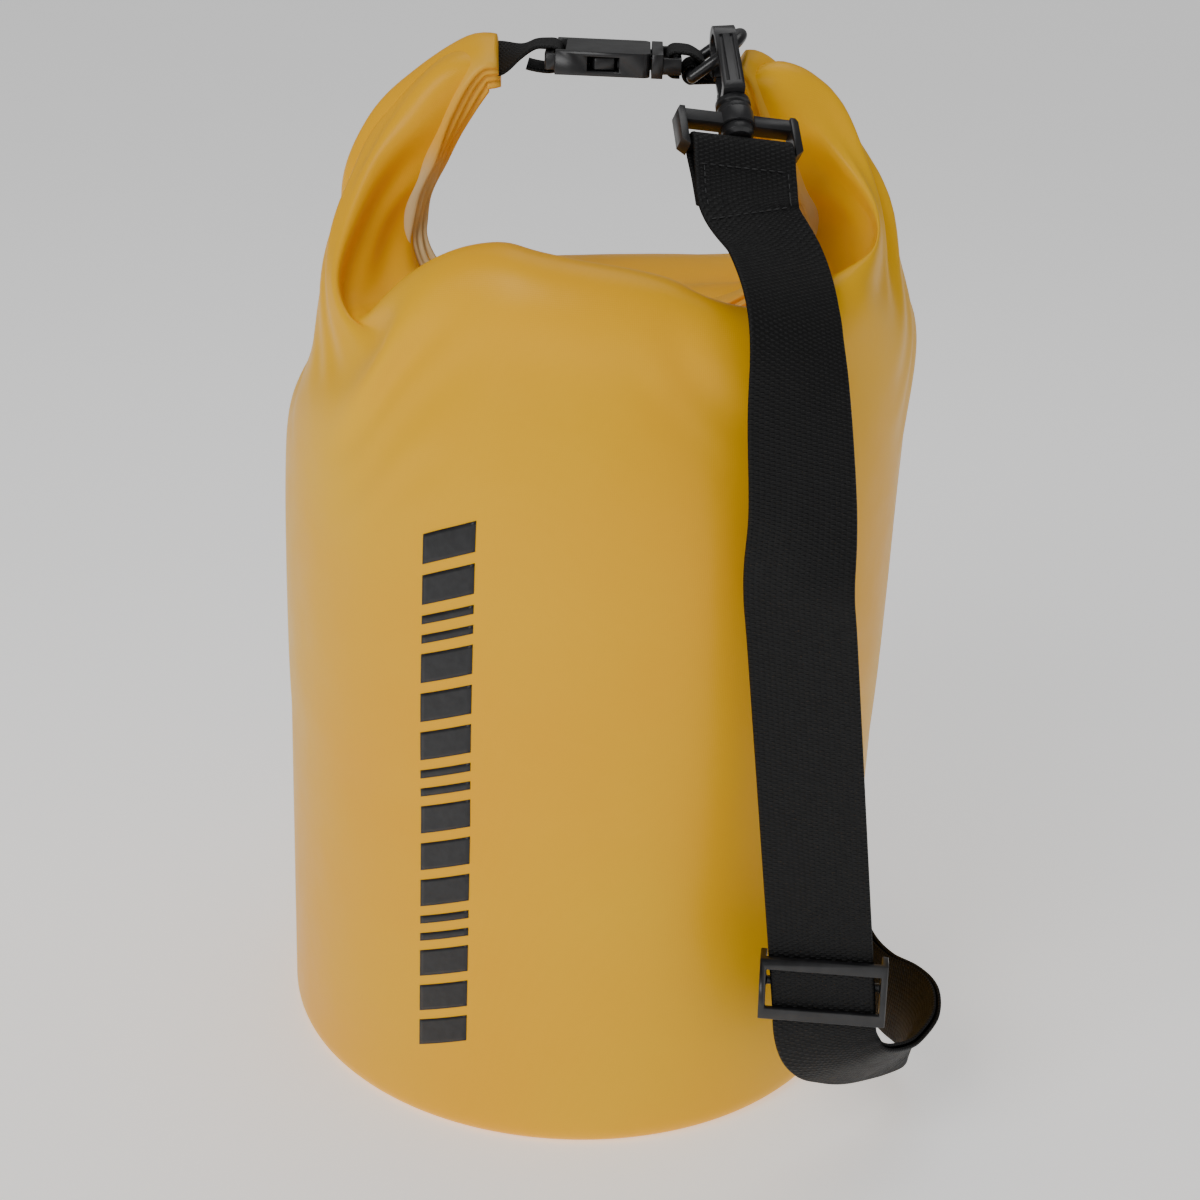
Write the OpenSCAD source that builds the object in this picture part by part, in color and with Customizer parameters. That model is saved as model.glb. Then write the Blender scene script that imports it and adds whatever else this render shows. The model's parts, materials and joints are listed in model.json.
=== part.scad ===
// Roll-top dry bag, closed, with its carrying loop clipped and a shoulder strap on two swivel hooks.
// Frame: origin at the centre of the base on the ground, +Z up, -Y towards the printed front,
// +X towards the side that carries the D-ring. All sizes are in millimetres.

/* [Bag] */
// Outside diameter of the filled bag
bag_d = 250; // [240:1:260]
// Thickness of the coated fabric
fabric_t = 0.8; // [0.6:0.1:1.2]
// Height at which the round wall starts to gather towards the roll
wall_h = 270; // [250:5:275]
// Height of the base panel's welded flange
flange_h = 12; // [8:1:20]

/* [Rolled mouth] */
// Width of the roll across its flat face
roll_w = 36; // [32:1:38]
// Thickness of the roll
roll_t = 15; // [14:1:18]
// Width of the stiffening strips in the hem
stiff_w = 20; // [16:1:24]
// Thickness of one stiffening strip
stiff_t = 1.0; // [0.8:0.1:1.2]

/* [Closure buckle] */
// Width of the closure webbing
web_w = 22; // [20:1:22]
// Thickness of the closure webbing
web_t = 1.4; // [1.2:0.1:1.6]
// Thickness of the buckle
buckle_t = 9; // [9:0.5:11]

/* [D-rings] */
// Radius of the D-ring's round bar
ring_r = 2.2; // [1.8:0.1:2.2]
// Radius of the bow, to the middle of the bar
bow_r = 15.2; // [15:0.1:16]

/* [Shoulder strap] */
// Width of the shoulder webbing
strap_w = 40; // [38:1:40]
// Thickness of the shoulder webbing
strap_t = 1.6; // [1.2:0.1:1.6]

/* [Hidden] */
$fn = 48;
bag_r = bag_d / 2;
EPS = 0.01;
YELLOW = [1.0, 0.76, 0.16];
BLACK = [0.06, 0.06, 0.065];

// ---- vectors and smooth routes ----

function unit(v) = v / norm(v);
function pos(s) = [s[0], s[1], s[2]];
function side(s) = [s[3], s[4], s[5]];
// a station is [x, y, z, side x, side y, side z]: a point and the direction of the band's width
function cubic(a, b, c, d, t) =
    0.5 * (2 * b + (c - a) * t + (2 * a - 5 * b + 4 * c - d) * t * t + (3 * b - a - 3 * c + d) * t * t * t);
function smooth(r, steps) = concat(
    [for (i = [1:len(r) - 3], j = [0:steps - 1]) cubic(r[i - 1], r[i], r[i + 1], r[i + 2], j / steps)],
    [r[len(r) - 2]]);
function tangent(r, i) = unit(pos(r[min(i + 1, len(r) - 1)]) - pos(r[max(i - 1, 0)]));
function across(r, i) = let (t = tangent(r, i), w = side(r[i])) unit(w - (w * t) * t);

// ring of section points round each station; the section lies in (width, thickness)
function rings(r, section, lift = 0) = [for (i = [0:len(r) - 1])
    let (t = tangent(r, i), w = across(r, i), n = cross(t, w))
    for (q = section) pos(r[i]) + w * q[0] + n * (q[1] + lift)];
function rect_section(w, t) = [[-w / 2, -t / 2], [w / 2, -t / 2], [w / 2, t / 2], [-w / 2, t / 2]];
function oval_section(w, t, n) = [for (k = [0:n - 1])
    let (c = cos(360 * k / n), s = sin(360 * k / n))
    [w / 2 * sign(c) * pow(abs(c), 0.7), t / 2 * sign(s) * pow(abs(s), 0.8)]];

module sweep(r, section, lift = 0) {
    n = len(section);
    m = len(r);
    sides = [for (i = [0:m - 2], j = [0:n - 1], f = [0, 1])
        let (a = i * n + j, b = i * n + (j + 1) % n)
        f == 0 ? [a, b + n, b] : [a, a + n, b + n]];
    ends = concat([for (j = [1:n - 2]) [0, j, j + 1]],
        [for (j = [1:n - 2]) [(m - 1) * n, (m - 1) * n + j + 1, (m - 1) * n + j]]);
    polyhedron(points = rings(r, section, lift), faces = concat(sides, ends), convexity = 6);
}

// rigid placement from an origin and two axes
function frame_at(o, x, z) = let (zz = unit(z), xx = unit(x - (x * zz) * zz), yy = cross(zz, xx))
    [[xx[0], yy[0], zz[0], o[0]], [xx[1], yy[1], zz[1], o[1]], [xx[2], yy[2], zz[2], o[2]], [0, 0, 0, 1]];
function placed(m, p) = pos(m * [p[0], p[1], p[2], 1]);
function turned(m, v) = pos(m * [v[0], v[1], v[2], 0]);
function station(m, y, z) = concat(placed(m, [0, y, z]), turned(m, [1, 0, 0]));

// ---- hook and D-ring layout ----

hook_reach = 33;        // swivel centre to the caught bar
frame_drop = 12;        // swivel centre to the webbing bar
rail = 8;               // straight part of the D-ring between its bar and its bow

top_bar = [32, 0, 412];
top_bow = [cos(38), 0, sin(38)];
top_catch = [43.6, -13.7, 421];
bend_point = [62, -112, 339];
top_down = unit(bend_point - top_catch);
top_swivel = top_catch + hook_reach * top_down;
TOP_HOOK = frame_at(top_swivel, [0.8, 0.42, 0.32], -top_down);
TOP_FRAME = frame_at(top_swivel, [0.93, 0.36, -0.05], -top_down);

low_bar = [-8, 130.9, 60];
low_bow = [cos(20), sin(20), 0];
low_catch = low_bar + (rail + bow_r) * low_bow;
low_down = unit([0.96, -0.28, 0]);
low_swivel = low_catch + hook_reach * low_down;
LOW_HOOK = frame_at(low_swivel, [0, 0, 1], -low_down);

// ---- routes, as points chosen by hand ----

// middle of the roll from the left horn's tip to the right horn's tip
ROLL = [
    [-42, 0, 413.5, -0.3, 0.9, 0.4], [-51, 0, 411.5, -0.35, 0.9, 0.4], [-64, 0, 399, -0.6, 0.7, 0.45],
    [-77, 0, 382, -0.8, 0.4, 0.3], [-86, 0, 361, -0.9, 0.4, 0], [-85, 1, 341, -0.8, 0.6, -0.2],
    [-71, 3, 325, -0.4, 0.9, -0.3], [-45, 5, 317, 0, 1, 0], [0, 6, 314, 0, 1, 0], [45, 5, 317, 0, 1, 0],
    [74, 3, 326, 0.4, 0.9, -0.3], [92, 1, 343, 0.8, 0.6, -0.2], [94, 0, 363, 0.9, 0.4, 0],
    [80, 0, 384, 0.8, 0.4, 0.3], [67, 0, 398, 0.6, 0.7, 0.45], [57, 0, 410, 0.35, 0.9, 0.4],
    [50, 0, 413.8, 0.1, 1, 0.2]];

// closure webbing: inside the roll's end, out of the horn, round the buckle's bar
buckle_z = 415.5;
LEFT_WEB = concat([ROLL[3], ROLL[2], ROLL[1]], [
    [-42, 0, 413.5, -0.3, 0.9, 0.4], [-33.5, 0, 416.5, 0, 1, 0.1], [-28, 0, 419.4, 0, 1, 0],
    [-24, 0, 419.9, 0, 1, 0], [-20.4, 0, 419.8, 0, 1, 0], [-18.3, 0, 417.8, 0, 1, 0],
    [-18.3, 0, 413.2, 0, 1, 0], [-20.4, 0, 411.2, 0, 1, 0], [-25, 0, 411, 0, 1, 0], [-31, 0, 412, 0, 1, 0],
    [-36, 0, 414, 0, 1, 0]]);
RIGHT_WEB = concat([ROLL[13], ROLL[14], ROLL[15]], [
    [50, 2.5, 412.4, 0.1, 1, 0.1], [46, 4.5, 410.9, 0, 1, 0.05], [41, 3.6, 410.9, 0, 1, 0],
    [38, 1.4, 412.6, 0, 1, 0], [35.4, 0.3, 416.8, 0, 1, 0], [31.5, 0, 419.4, 0, 1, 0],
    [28, 0, 420, 0, 1, 0], [24.4, 0, 419.8, 0, 1, 0], [22.6, 0, 417.8, 0, 1, 0],
    [22.6, 0, 413.2, 0, 1, 0], [24.4, 0, 411.2, 0, 1, 0], [27.4, 0, 411, 0, 1, 0], [31, 0, 411, 0, 1, 0]]);

// shoulder webbing: over the front of the shoulder, straight down, then the curl behind the bag
slider_at = [98.5, -136.4, 89];
strap_dir = unit([0.13, -0.05, -0.99]);
strap_side = [0.985, -0.1, 0.134];
slide_up = 110;         // travel of the slider
STRAIGHT = [for (d = [-165, -140, -70, 0, 22]) concat(slider_at + d * strap_dir, strap_side)];
OVER = [[63, -82, 364, 0.9, 0.42, -0.1], [68.5, -102, 351.5, 0.88, 0.46, -0.18],
    [71, -114, 338, 0.87, 0.46, -0.15], [73, -121, 315, 0.93, 0.34, -0.05],
    [76.5, -125.5, 280, 0.96, 0.2, 0.08]];
CURL = [[107, -135.5, 56, 0.94, -0.1, 0.3], [116, -130, 49, 0.84, -0.15, 0.5],
    [128, -120, 44, 0.75, -0.1, 0.65], [140, -105, 41.5, 0.6, 0.05, 0.8],
    [147, -87, 39, 0.3, 0.1, 0.95], [146, -68, 35, 0.1, 0, 1],
    [139, -51, 31.5, 0, -0.05, 1], [132, -32, 30, 0, 0, 1], [130.5, -10, 30, 0, 0, 1],
    [129.5, 16, 32, 0, 0, 1], [124, 42, 36.5, 0, 0, 1], [114.5, 68, 43, 0, 0, 1], [102, 92, 50.5, 0, 0, 1],
    [88, 111, 57, 0, 0, 1]];
WRAP_TOP = [station(TOP_FRAME, 2.2, -50), station(TOP_FRAME, 2.2, -38), station(TOP_FRAME, 2.6, -26),
    station(TOP_FRAME, 3.8, -14.5), station(TOP_FRAME, 3.2, -10), station(TOP_FRAME, 0, -8.8),
    station(TOP_FRAME, -3.2, -10), station(TOP_FRAME, -3.8, -14.5), station(TOP_FRAME, -1.2, -26),
    station(TOP_FRAME, -0.4, -40)];
NEAR_LOW = [station(LOW_HOOK, 1, -28)];
WRAP_LOW = [station(LOW_HOOK, 3.8, -14.5), station(LOW_HOOK, 3.2, -10), station(LOW_HOOK, 0, -8.8),
    station(LOW_HOOK, -3.2, -10), station(LOW_HOOK, -3.8, -14.5), station(LOW_HOOK, -2.4, -21),
    station(LOW_HOOK, -1.4, -26)];
STRAP = concat(WRAP_TOP, OVER, STRAIGHT, CURL, NEAR_LOW, WRAP_LOW);

// the returning layer: round the slider's middle bar, then along the inner side of the strap
slider_skew = 6;        // tilt of the slider on the webbing
SQUARE = frame_at(slider_at, strap_side, -strap_dir);
SLIDER = frame_at(slider_at, turned(SQUARE, [cos(slider_skew), 0, -sin(slider_skew)]),
    turned(SQUARE, [sin(slider_skew), 0, cos(slider_skew)]));
LOOP = [station(SLIDER, 1.8, -9), station(SLIDER, 1.8, -5), station(SLIDER, 1.75, 0),
    station(SLIDER, 2.2, 3), station(SLIDER, 3.6, 4.2), station(SLIDER, 5.1, 3), station(SLIDER, 5.5, 0),
    station(SLIDER, 4.4, -8)];
layer_gap = 2.3;        // middle of the strap to the middle of its returning layer
function lifted(r, d) = [for (i = [0:len(r) - 1])
    concat(pos(r[i]) + d * cross(tangent(r, i), across(r, i)), side(r[i]))];
RETURN = concat(LOOP, lifted(concat([STRAIGHT[4]], CURL, NEAR_LOW), -layer_gap),
    [station(LOW_HOOK, -2.2, -23.5)]);

// ---- bag ----

// lower edge, upper edge and the two shaping points between them, at angle a
function foot(a, r) = [r * cos(a), r * sin(a), wall_h];
function lip(a, t) = let (c = cos(a), s = sin(a))
    [(c < 0 ? 100 : 107) * c * (1 - t / 100), 5 * (1 - c * c) + (15 - t) * s,
        302 - t + (c < 0 ? 36 : 46) * pow(abs(c), 6)];
function rise(a) = 22 + (sin(a) < 0 ? 66 : 8) * pow(abs(sin(a)), 1.2) + 42 * pow(max(cos(a), 0), 2);
function gather(a, t) = let (c = cos(a), s = sin(a), f = pow(abs(s), 1.2))
    [(c < 0 ? -8 : 16) * c * c, (45 - t) * s, (s < 0 ? 54 : 8) * f - (c < 0 ? 22 : 12) * c * c - t];
function bezier(p, t) = pow(1 - t, 3) * p[0] + 3 * t * pow(1 - t, 2) * p[1]
    + 3 * t * t * (1 - t) * p[2] + pow(t, 3) * p[3];
function shoulder_ring(v, t) = [for (k = [0:gores - 1]) let (a = 360 * k / gores)
    bezier([foot(a, bag_r - t), foot(a, bag_r - t) + [0, 0, rise(a) - t],
        lip(a, t) + gather(a, t), lip(a, t)], v)];
gores = 64;
courses = 12;

module body_wall() {
    color(YELLOW) difference() {
        cylinder(h = wall_h, r = bag_r, $fn = 128);
        translate([0, 0, -1]) cylinder(h = wall_h + 2, r = bag_r - fabric_t, $fn = 128);
    }
}

module body_shoulder() {
    shell = concat([for (i = [0:courses]) shoulder_ring(i / courses, 0)],
        [for (i = [courses:-1:0]) shoulder_ring(i / courses, fabric_t)]);
    m = len(shell);
    points = [for (ring = shell, p = ring) p];
    faces = [for (i = [0:m - 1], j = [0:gores - 1], f = [0, 1])
        let (a = i * gores + j, b = i * gores + (j + 1) % gores,
            c = ((i + 1) % m) * gores + (j + 1) % gores, d = ((i + 1) % m) * gores + j)
        f == 0 ? [a, c, b] : [a, d, c]];
    color(YELLOW) polyhedron(points = points, faces = faces, convexity = 8);
}

module base_panel() {
    r = bag_r - fabric_t - EPS;
    color(YELLOW) rotate_extrude($fn = 128)
        polygon([[0, 0], [r, 0], [r, flange_h], [r - fabric_t, flange_h],
            [r - fabric_t, fabric_t], [0, fabric_t]]);
}

module side_seam_tape() {
    color(YELLOW) rotate([0, 0, 130]) rotate_extrude(angle = 9, $fn = 128)
        translate([bag_r + EPS, 2]) square([fabric_t, wall_h - 4]);
}

module rolled_mouth() {
    route = smooth(ROLL, 3);
    color(YELLOW) difference() {
        sweep(route, oval_section(roll_w, roll_t, 20));
        sweep(smooth(concat([2 * ROLL[0] - ROLL[1]], ROLL, [2 * ROLL[16] - ROLL[15]]), 3),
            rect_section(web_w + 1.5, core_t));
    }
}
core_t = 5.2;           // hollow at the middle of the roll

module hem_stiffener(s) {
    color("white") sweep(smooth(ROLL, 3), rect_section(stiff_w, stiff_t),
        s * (web_t / 2 + 0.4 + stiff_t / 2));
}
module hem_stiffener_outer() {
    hem_stiffener(1);
}
module hem_stiffener_inner() {
    hem_stiffener(-1);
}

// ---- closure ----

module closure_webbing_left() {
    color(BLACK) sweep(smooth(LEFT_WEB, 3), rect_section(web_w, web_t));
}

module closure_webbing_right() {
    color(BLACK) sweep(smooth(RIGHT_WEB, 3), rect_section(web_w, web_t));
}

module slab(x0, x1, y, z) {
    translate([x0, -y, -z]) cube([x1 - x0, 2 * y, 2 * z]);
}

socket_y = 16.5;        // half width of the buckle
window_x = [-7.8, 4.2]; // side windows that the arms' heads show in
module buckle_socket() {
    color(BLACK) translate([0, 0, buckle_z]) difference() {
        intersection() {
            union() {
                slab(-20, 16, socket_y, buckle_t / 2);
                slab(-24, -20, socket_y - 1, 3);
            }
            linear_extrude(height = 40, center = true) offset(r = 3) offset(delta = -3)
                translate([-24, -socket_y]) square([40, 2 * socket_y]);
        }
        slab(-11, 17, 12.8, 2.7);
        slab(-20.6, -16.2, 13.2, 6);
        slab(window_x[0], window_x[1], socket_y + 1, 2.7);
    }
}

module buckle_plug() {
    color(BLACK) translate([0, 0, buckle_z]) difference() {
        union() {
            slab(16.5, 20.8, socket_y, buckle_t / 2);
            slab(20.8, 27.8, socket_y - 1, 3);
            slab(-8, 16.6, 3.4, 2);
        }
        slab(20.8, 24.6, 13.2, 6);
        for (s = [-1, 1]) translate([arm_x, s * arm_y, 0])
            cylinder(h = 2 * arm_z + 0.6, r = 1.9, center = true);
    }
}
arm_x = 17.4;           // root of a spring arm
arm_y = 9.7;
arm_z = 2.2;

module latch_arm() {
    linear_extrude(height = 2 * arm_z, center = true) union() {
        polygon([[arm_x - 1, 8.4], [arm_x - 1, 11], [3.4, 12.2], [2.4, 14.6],
            [-5, 15.4], [-7, 10], [-6.6, 8.2]]);
        translate([arm_x, arm_y]) circle(r = 1.8);
    }
}
module latch_arm_front() {
    color(BLACK) translate([0, 0, buckle_z]) mirror([0, 1, 0]) latch_arm();
}
module latch_arm_rear() {
    color(BLACK) translate([0, 0, buckle_z]) latch_arm();
}

// ---- D-rings and their webbing ----

// bar along Y at the origin, bow towards +X
module d_ring() {
    color(BLACK) union() {
        rotate([90, 0, 0]) cylinder(h = 2 * bow_r, r = ring_r, center = true);
        for (s = [-1, 1]) translate([0, s * bow_r, 0]) {
            sphere(r = ring_r);
            rotate([0, 90, 0]) cylinder(h = rail, r = ring_r);
        }
        translate([rail, 0, 0]) rotate([0, 0, -90]) rotate_extrude(angle = 180)
            translate([bow_r, 0]) circle(r = ring_r);
    }
}

module top_d_ring() {
    translate(top_bar) rotate([0, -38, 0]) d_ring();
}

keeper_gap = 0.3;       // keeper to the bar it holds
module keeper_loop() {
    rotate([90, 0, 0]) linear_extrude(height = web_w - 1, center = true) difference() {
        circle(r = ring_r + keeper_gap + web_t);
        circle(r = ring_r + keeper_gap);
    }
}

module d_ring_keeper() {
    color(BLACK) union() {
        translate(top_bar) keeper_loop();
        translate([top_bar[0] + 3.2, 1 - web_w / 2, top_bar[2] - 3]) cube([1.2, web_w - 2, 4]);
    }
}

patch_z = [36, 84];     // lower patch, bottom and top
module wall_piece(a, span, r, t, z0, z1) {
    rotate([0, 0, a]) rotate_extrude(angle = span, $fn = 128) translate([r, z0]) square([t, z1 - z0]);
}
module lower_patch() {
    color(YELLOW) wall_piece(82, 30, bag_r + EPS, 1, patch_z[0], patch_z[1]);
}

loop_r = bag_r + 1 + 2 * EPS;
module lower_web_loop() {
    color(BLACK) union() {
        translate(low_bar) rotate([90, 0, 0]) keeper_loop();
        wall_piece(92.6, 11, loop_r, web_t, low_bar[2] - web_w / 2 + 0.5, low_bar[2] + web_w / 2 - 0.5);
    }
}

module lower_d_ring() {
    translate(low_bar) rotate([0, 0, 20]) rotate([90, 0, 0]) d_ring();
}

// ---- swivel snap hook: swivel centre at the origin, caught bar along X at z = hook_reach ----

hook_t = 8;             // thickness of the hook
throat = 5.8;           // half width of the hook's throat
nose = 3;               // wall of the hook round its throat
gate_y = 7.4;
gate_z = 15.8;          // gate pivot
neck_r = 3.6;
throat_top = hook_reach + 2.1;

module across_hook(t) {
    rotate([90, 0, 90]) linear_extrude(height = t, center = true) children();
}

module hook_body() {
    color(BLACK) difference() {
        union() {
            rotate_extrude() polygon([[0, -7.4], [4.6, -7.4], [6, -6.2], [6, -3.3], [neck_r, -3.3],
                [neck_r, 3.3], [6.6, 3.3], [6.6, 5.2], [5.6, 5.8], [5.6, 6.6], [6.6, 7.2], [6.6, 9],
                [4.5, 10.5], [0, 10.5]]);
            across_hook(hook_t) union() {
                translate([0, throat_top]) circle(r = throat + nose);
                translate([-throat - nose, 9.5]) square([2 * (throat + nose), throat_top - 9.5]);
            }
        }
        across_hook(hook_t + 2) union() {
            translate([0, throat_top]) circle(r = throat);
            translate([-throat, 13]) square([2 * throat, throat_top - 13]);
            translate([throat - EPS, 18.6]) square([5, 8.7]);
        }
        translate([-3.6, throat - 1, 13]) cube([7.2, 6, 6]);
        translate([0, gate_y, gate_z]) rotate([0, 90, 0]) cylinder(h = 20, r = 1.56, center = true);
        for (s = [-1, 1]) translate([s * 1.9 - 0.6, -throat - nose - 1, 13])
            cube([1.2, 1.8, throat_top - 13]);
    }
}

module hook_gate() {
    color(BLACK) union() {
        across_hook(6.8) union() {
            translate([gate_y, gate_z]) circle(r = 2.3);
            translate([gate_y - 1.5, gate_z]) square([3, 10.9]);
        }
        translate([0, gate_y, gate_z]) rotate([0, 90, 0]) cylinder(h = hook_t, r = 1.5, center = true);
    }
}

ARM_SIDE = [[0, -15], [3, -12.5], [3, 1], [2, 2.6], [0, 2.6]];
module hook_frame() {
    half = strap_w / 2 + 0.8;
    color(BLACK) difference() {
        union() {
            cylinder(h = 6, r = 7, center = true);
            translate([-half, -2.8, -3]) cube([2 * half, 5.6, 5]);
            for (s = [-1, 1]) translate([s * half, 0, 0]) rotate([90, 0, 0])
                linear_extrude(height = 7, center = true)
                polygon([for (p = ARM_SIDE) [s * p[0], p[1]]]);
            translate([-half, -2, -frame_drop - 1.5]) cube([2 * half, 4, 3]);
        }
        cylinder(h = 8, r = neck_r + 0.08, center = true);
    }
}

module top_hook_body() {
    multmatrix(TOP_HOOK) hook_body();
}
module top_hook_gate() {
    multmatrix(TOP_HOOK) hook_gate();
}
module top_hook_frame() {
    multmatrix(TOP_FRAME) hook_frame();
}
module lower_hook_body() {
    multmatrix(LOW_HOOK) hook_body();
}
module lower_hook_gate() {
    multmatrix(LOW_HOOK) hook_gate();
}
module lower_hook_frame() {
    multmatrix(LOW_HOOK) hook_frame();
}

// ---- shoulder strap ----

module shoulder_strap() {
    color(BLACK) sweep(smooth(STRAP, 3), rect_section(strap_w, strap_t));
}

module strap_return() {
    color(BLACK) sweep(smooth(RETURN, 3), rect_section(strap_w - 1, strap_t));
}

slider_w = 49;          // outside width of the slider
slider_h = 27;          // height of the slider
slider_gap = 44;        // width of its slots
slider_bar = 5;         // height of its outer bars
module strap_slider() {
    rail_w = (slider_w - slider_gap) / 2;
    color(BLACK) multmatrix(SLIDER) union() {
        for (s = [-1, 1]) translate([s * (slider_gap + rail_w) / 2, 0.5, 0])
            cube([rail_w, 8.2, slider_h], center = true);
        for (s = [-1, 1]) translate([0, -2.4, s * (slider_h - slider_bar) / 2])
            cube([slider_gap + EPS, 2.4, slider_bar], center = true);
        translate([0, 3.6, 0]) cube([slider_gap + EPS, 1.6, 3.4], center = true);
    }
}

body_wall();
body_shoulder();
base_panel();
side_seam_tape();
rolled_mouth();
hem_stiffener_outer();
hem_stiffener_inner();
closure_webbing_left();
closure_webbing_right();
buckle_socket();
buckle_plug();
latch_arm_front();
latch_arm_rear();
d_ring_keeper();
top_d_ring();
top_hook_body();
top_hook_gate();
top_hook_frame();
shoulder_strap();
strap_return();
strap_slider();
lower_patch();
lower_web_loop();
lower_d_ring();
lower_hook_body();
lower_hook_gate();
lower_hook_frame();
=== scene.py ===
"""A closed roll-top dry bag: coated fabric, rolled mouth, webbing and moulded hardware.

Lengths are in millimetres until a mesh is made. X is right, -Y is the printed front, Z is up.
"""

import json
import math

import bmesh
import bpy
import numpy as np
from mathutils import Matrix, Vector

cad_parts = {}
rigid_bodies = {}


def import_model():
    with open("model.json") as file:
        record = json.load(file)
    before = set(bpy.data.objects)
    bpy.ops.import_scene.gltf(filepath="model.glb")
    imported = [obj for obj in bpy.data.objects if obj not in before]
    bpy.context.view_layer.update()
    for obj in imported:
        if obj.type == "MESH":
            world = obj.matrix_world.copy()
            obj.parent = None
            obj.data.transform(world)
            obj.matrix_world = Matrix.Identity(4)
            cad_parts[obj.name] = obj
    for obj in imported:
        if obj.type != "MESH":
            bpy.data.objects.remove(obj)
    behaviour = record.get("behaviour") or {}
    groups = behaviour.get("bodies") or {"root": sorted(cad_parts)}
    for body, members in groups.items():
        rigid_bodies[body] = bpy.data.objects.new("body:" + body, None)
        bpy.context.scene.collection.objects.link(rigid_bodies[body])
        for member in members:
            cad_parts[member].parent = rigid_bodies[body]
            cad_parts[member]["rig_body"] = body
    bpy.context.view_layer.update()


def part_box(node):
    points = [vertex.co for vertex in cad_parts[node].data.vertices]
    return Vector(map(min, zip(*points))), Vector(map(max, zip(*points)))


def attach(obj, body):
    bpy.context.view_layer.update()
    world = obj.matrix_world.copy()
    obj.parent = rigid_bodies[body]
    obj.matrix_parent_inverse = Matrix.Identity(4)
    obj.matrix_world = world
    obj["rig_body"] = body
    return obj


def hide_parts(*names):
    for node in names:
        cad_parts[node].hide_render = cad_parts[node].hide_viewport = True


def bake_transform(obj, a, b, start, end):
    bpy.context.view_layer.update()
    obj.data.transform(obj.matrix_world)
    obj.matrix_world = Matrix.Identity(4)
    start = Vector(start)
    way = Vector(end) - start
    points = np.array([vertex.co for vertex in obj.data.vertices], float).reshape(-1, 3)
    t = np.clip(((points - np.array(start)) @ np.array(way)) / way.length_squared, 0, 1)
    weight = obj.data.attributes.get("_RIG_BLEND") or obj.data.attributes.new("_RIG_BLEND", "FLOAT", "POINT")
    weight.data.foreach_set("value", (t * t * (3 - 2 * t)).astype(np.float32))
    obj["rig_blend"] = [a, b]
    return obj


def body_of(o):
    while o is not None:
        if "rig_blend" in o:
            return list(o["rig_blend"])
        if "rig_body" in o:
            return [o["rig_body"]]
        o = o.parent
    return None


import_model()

MM = 0.001
BAG_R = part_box("body_wall")[1].x / MM


# ---- camera, light and floor ----

CAMERA_AT = Vector((6.0, -820.8, 546.9)) * MM
CAMERA_PITCH = math.radians(23.572)
CAMERA_ROLL = math.radians(2.542)
LENS = 63
SENSOR = 36
FLOOR = 7000            # from the middle of the floor to its edge


def add_camera():
    forward = Vector((0, math.cos(CAMERA_PITCH), -math.sin(CAMERA_PITCH)))
    level = Vector((1, 0, 0))
    upright = Vector((0, math.sin(CAMERA_PITCH), math.cos(CAMERA_PITCH)))
    right = level * math.cos(CAMERA_ROLL) + upright * math.sin(CAMERA_ROLL)
    up = upright * math.cos(CAMERA_ROLL) - level * math.sin(CAMERA_ROLL)
    camera = bpy.data.objects.new("camera", bpy.data.cameras.new("camera"))
    camera.data.lens = LENS
    camera.data.sensor_width = SENSOR
    turn = Matrix((right, up, -forward)).transposed().to_4x4()
    camera.matrix_world = Matrix.Translation(CAMERA_AT) @ turn
    bpy.context.scene.collection.objects.link(camera)
    bpy.context.scene.camera = camera


def add_area_light(name, at, target, size, watts):
    data = bpy.data.lights.new(name, "AREA")
    data.shape = "DISK"
    data.size = size
    data.energy = watts
    light = bpy.data.objects.new(name, data)
    light.location = at
    light.rotation_euler = (Vector(target) - Vector(at)).to_track_quat("-Z", "Y").to_euler()
    bpy.context.scene.collection.objects.link(light)


def add_lights():
    middle = (0, 0, 0.22)
    add_area_light("key_light", (-0.75, -1.15, 1.25), middle, 0.9, 11)
    add_area_light("fill_light", (1.1, -0.9, 0.6), middle, 1.2, 0.9)
    add_area_light("top_light", (0.1, 0.4, 1.5), middle, 1.1, 4)
    add_area_light("low_light", (0.1, -1.4, 0.15), middle, 1.0, 0.4)
    world = bpy.data.worlds.new("studio")
    world.use_nodes = True
    background = world.node_tree.nodes["Background"]
    background.inputs["Color"].default_value = (1, 1, 1, 1)
    background.inputs["Strength"].default_value = 0.2
    bpy.context.scene.world = world


def add_floor():
    corners = [(-FLOOR, -FLOOR, 0), (FLOOR, -FLOOR, 0), (FLOOR, FLOOR, 0), (-FLOOR, FLOOR, 0)]
    return make_mesh("floor", corners, [(0, 1, 2, 3)], pale_floor("floor_paint"), closed=False)


# ---- materials ----

YELLOW = ((1.0, 0.47, 0.0), (1.0, 0.54, 0.0))
# pale inner side of the fabric; the same colour is also painted on the roll as a highlight
LINING_AND_HIGHLIGHT = (0.72, 0.60, 0.36)


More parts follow.
